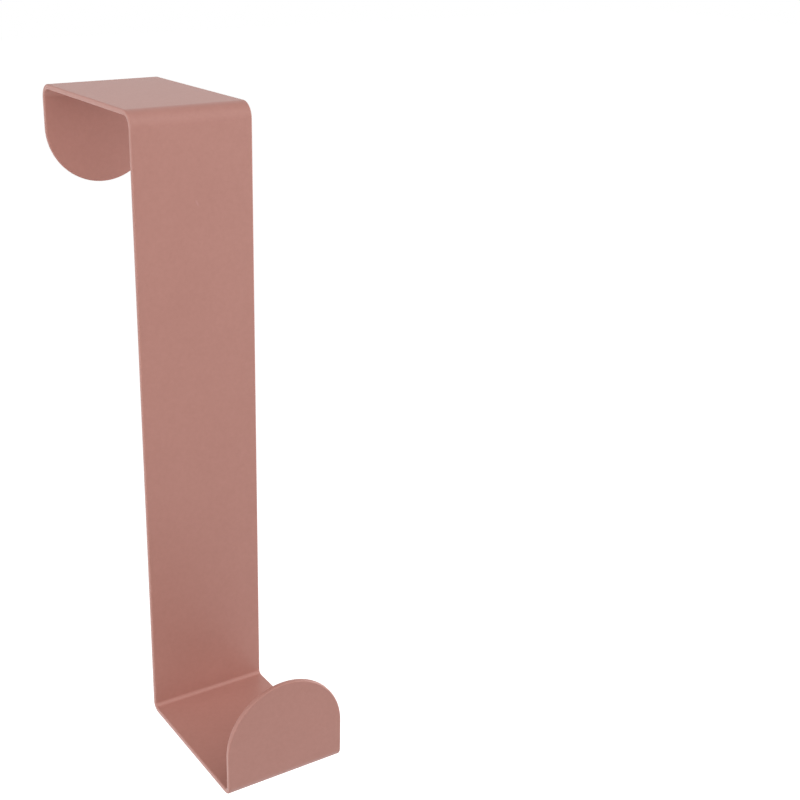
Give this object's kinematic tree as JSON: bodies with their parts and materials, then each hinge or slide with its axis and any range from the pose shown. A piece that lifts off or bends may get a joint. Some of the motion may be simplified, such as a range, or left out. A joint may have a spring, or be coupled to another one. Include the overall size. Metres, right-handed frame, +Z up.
{
  "type": "over door hook",
  "caption": "Over door hook: a flat steel strip folded into a saddle for the door's top, a long plate and a shelf, with a half-round lip at each end.",
  "frame": {"origin": "middle of the saddle's underside, where it rests on the door's top edge", "axes": "+X across the strip, -Y towards the room, the side the shelf is on, and +Z up"},
  "size_m": [0.035, 0.111, 0.176],
  "materials": {
    "powder_coated_steel": "satin powder coating, dusty pink, with a very fine texture"
  },
  "bodies": {
    "root": {"hook_strip": "powder_coated_steel"}
  },
  "joints": []
}
